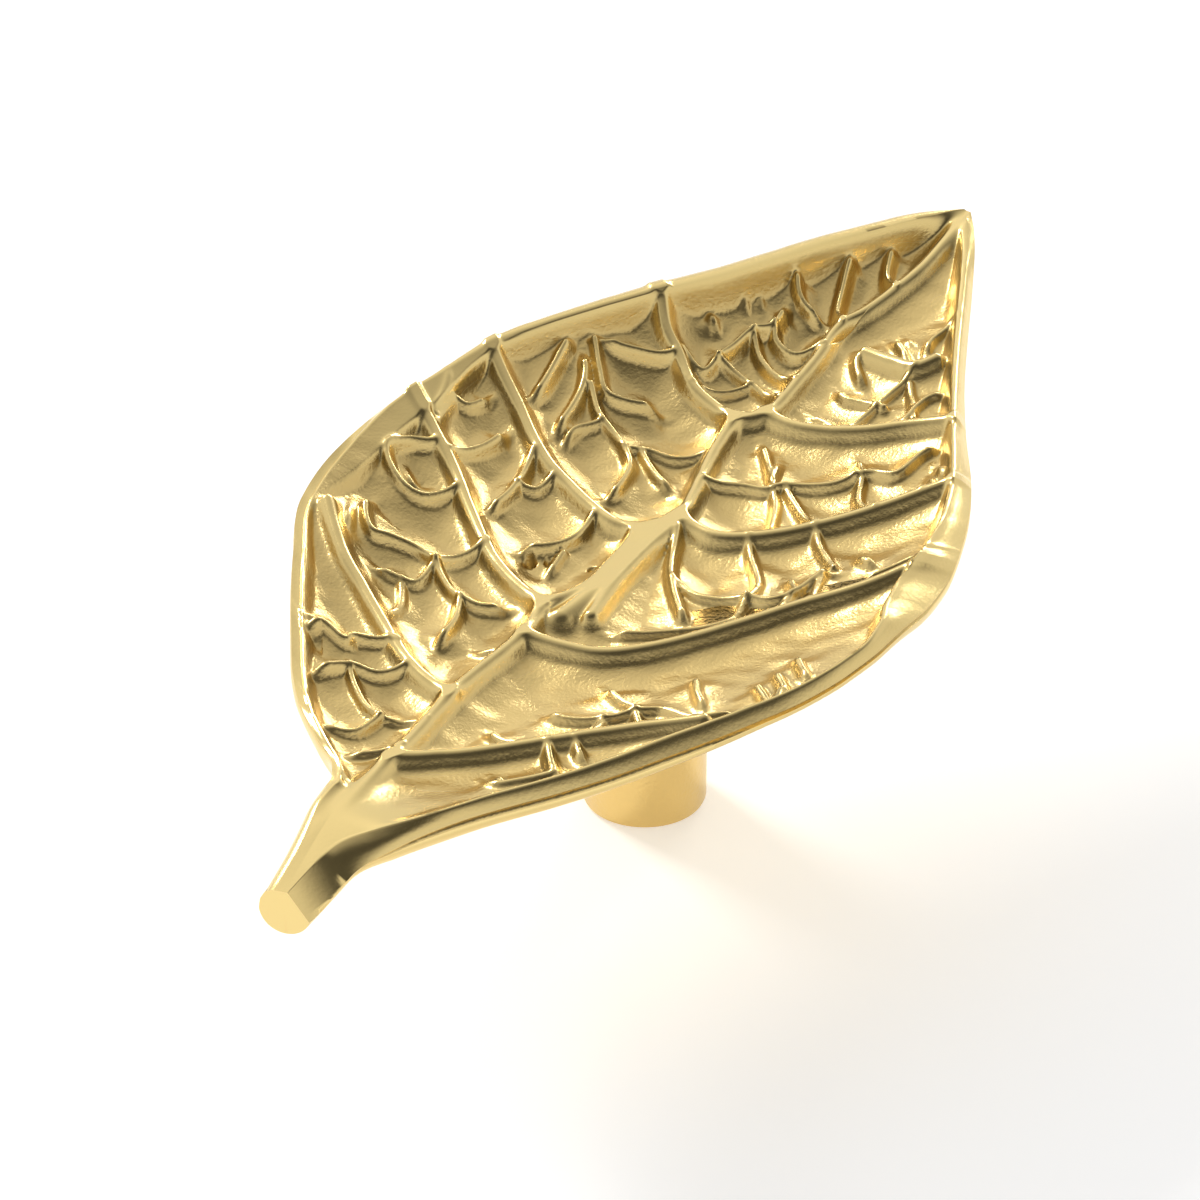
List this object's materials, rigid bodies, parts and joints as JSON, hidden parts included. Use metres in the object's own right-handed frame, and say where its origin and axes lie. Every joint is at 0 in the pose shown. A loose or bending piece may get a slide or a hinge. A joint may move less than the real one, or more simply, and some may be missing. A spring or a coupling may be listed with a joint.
{
  "type": "leaf shaped pull",
  "caption": "Cast brass drawer pull: a cupped leaf with raised veins and a cut stem on a short round post that is screwed on from behind.",
  "frame": {"origin": "centre of the post's foot, on the seating face that lies against the drawer front", "axes": "+Z out of the drawer front, +Y along the leaf towards its tip, +X to the right of the midrib seen from the front"},
  "size_m": [0.0355, 0.0738, 0.0212],
  "materials": {
    "leaf_pull": "cast brass, satin hollows with the veins and rim burnished bright"
  },
  "bodies": {
    "root": {"leaf_pull": "leaf_pull"}
  },
  "joints": []
}
